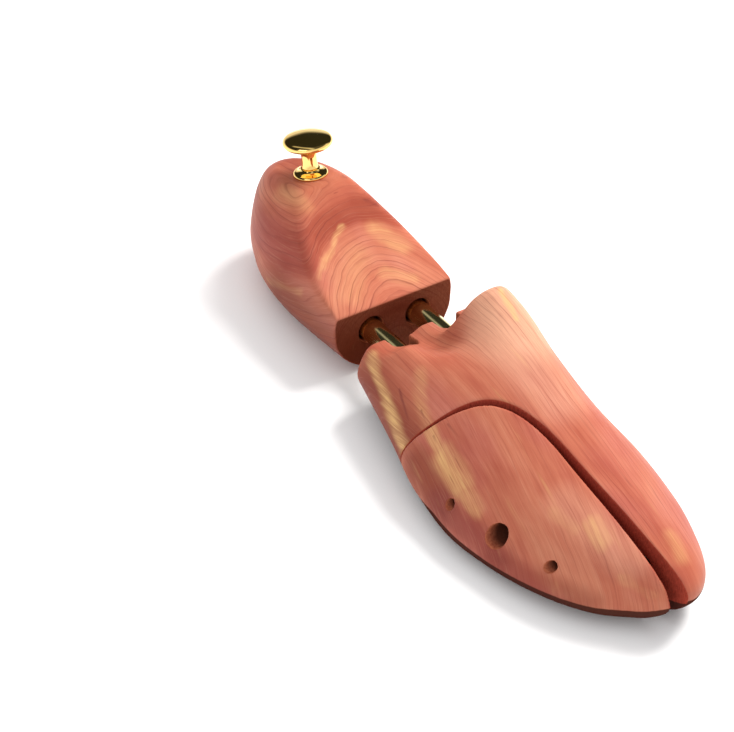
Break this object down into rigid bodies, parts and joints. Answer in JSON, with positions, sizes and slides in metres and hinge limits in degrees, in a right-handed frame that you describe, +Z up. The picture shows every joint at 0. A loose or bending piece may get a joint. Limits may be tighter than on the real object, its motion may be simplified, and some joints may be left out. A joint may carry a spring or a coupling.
{
  "type": "shoe tree",
  "caption": "Sprung cedar shoe tree for a right shoe, with a split toe section, a heel block on telescopic brass tubes, and a turned brass pull knob.",
  "frame": {"origin": "middle of the bounding box, on the floor that the ball of the toe section and the heel base both stand on", "axes": "+Z up; -Y towards the toe tip, +Y towards the heel; -X to the lateral side, with the vent holes and the side block, +X to the medial side. The tubes rise 5 degrees towards the toe."},
  "size_m": [0.0884, 0.308, 0.0739],
  "materials": {
    "cedar_toe": "smooth sanded, unvarnished aromatic cedar, pinkish red with cream sapwood streaks",
    "cedar_heel": "smooth sanded, unvarnished aromatic cedar with swirling grain",
    "brass_tube": "polished",
    "brass_knob": "mirror polished",
    "steel_fittings": "plain drawn steel",
    "spring_steel": "oiled spring wire"
  },
  "bodies": {
    "toe_section": {"main_toe_block": "cedar_toe", "outer_tube_left": "brass_tube", "outer_tube_right": "brass_tube", "tube_plug_left": "steel_fittings", "tube_plug_right": "steel_fittings", "tube_bush_left": "brass_tube", "tube_bush_right": "brass_tube", "tube_pins": "steel_fittings", "hinge_plate": "steel_fittings", "hinge_plate_pins": "steel_fittings", "tube_spring_left": "spring_steel", "tube_spring_right": "spring_steel", "toe_spring": "spring_steel"},
    "side_section": {"side_toe_block": "cedar_toe", "toe_pivot_pin": "steel_fittings", "toe_stop_pin": "steel_fittings"},
    "heel_section": {"heel_block": "cedar_heel", "inner_rod_left": "steel_fittings", "inner_rod_right": "steel_fittings", "rod_stop_collar_left": "steel_fittings", "rod_stop_collar_right": "steel_fittings", "rod_pins": "steel_fittings", "knob_base": "brass_knob", "knob": "brass_knob", "knob_stud": "steel_fittings"}
  },
  "joints": [
    {"name": "heel_slide", "type": "slide", "parent": "toe_section", "child": "heel_section", "axis": [0, -0.9962, 0.0872], "range_m": [0, 0.018], "stiffness_N_per_m": 1200, "springref_m": -0.012, "deforming": ["tube_spring_left", "tube_spring_right"]},
    {"name": "toe_spread", "type": "hinge", "parent": "toe_section", "child": "side_section", "pos_m": [-0.02874, -0.03798, 0.01451], "axis": [0, 0.0872, 0.9962], "range_deg": [0, 2.4], "stiffness_Nm_per_rad": 11, "springref_deg": -2.01, "deforming": ["toe_spring"]}
  ]
}
